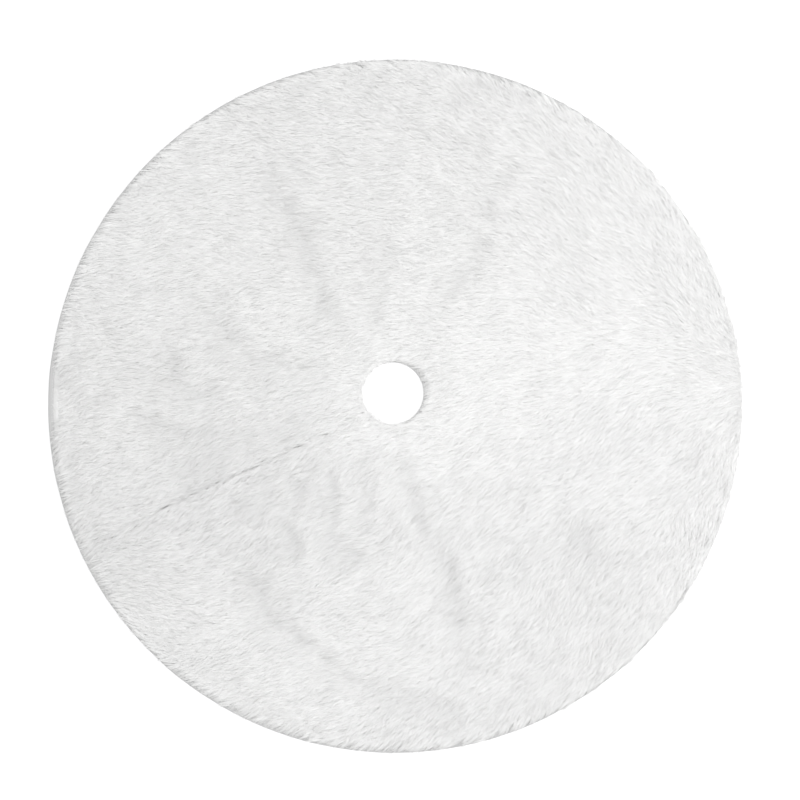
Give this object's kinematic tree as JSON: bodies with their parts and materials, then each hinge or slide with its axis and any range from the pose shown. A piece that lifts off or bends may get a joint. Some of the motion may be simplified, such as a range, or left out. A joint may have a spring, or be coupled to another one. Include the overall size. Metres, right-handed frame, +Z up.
{
  "type": "tree skirt",
  "caption": "Round white faux-fur skirt that lies flat on the floor round a tree trunk; a slit with a lapped hook-and-loop flap lets it close around the trunk.",
  "frame": {"origin": "centre of the trunk hole, on the floor under the skirt", "axes": "+Z up out of the floor, along the trunk; the slit runs from the hole to the rim along -Y; the flap is on the slit's +X side"},
  "size_m": [1.2199, 1.22, 0.015],
  "materials": {
    "pile": "long soft white pile",
    "lining": "plain woven polyester, matt",
    "binding": "folded bias tape, light grey, matt",
    "thread": "spun polyester thread",
    "hook_tape": "nylon hooks on woven tape",
    "loop_tape": "brushed nylon loops"
  },
  "bodies": {
    "skirt": {"fur_panel": "pile", "lining_panel": "lining", "rim_binding": "binding", "hole_binding": "binding", "slit_binding": "binding", "underlap": "lining", "rim_stitching": "thread", "hole_stitching": "thread", "underlap_stitching": "thread", "hook_pad_inner": "hook_tape", "hook_pad_middle": "hook_tape", "hook_pad_outer": "hook_tape", "hook_pad_stitching": "thread"},
    "flap": {"flap_fur_panel": "pile", "flap_lining_panel": "lining", "flap_rim_binding": "binding", "flap_hole_binding": "binding", "flap_slit_binding": "binding", "flap_rim_stitching": "thread", "flap_hole_stitching": "thread", "flap_slit_stitching": "thread", "loop_pad_inner": "loop_tape", "loop_pad_middle": "loop_tape", "loop_pad_outer": "loop_tape", "loop_pad_stitching": "thread"}
  },
  "joints": [
    {"name": "flap_fold", "type": "hinge", "parent": "skirt", "child": "flap", "pos_m": [0, 0, 0.015], "axis": [-0.9848, 0.1736, 0], "range_deg": [0, 165]}
  ]
}
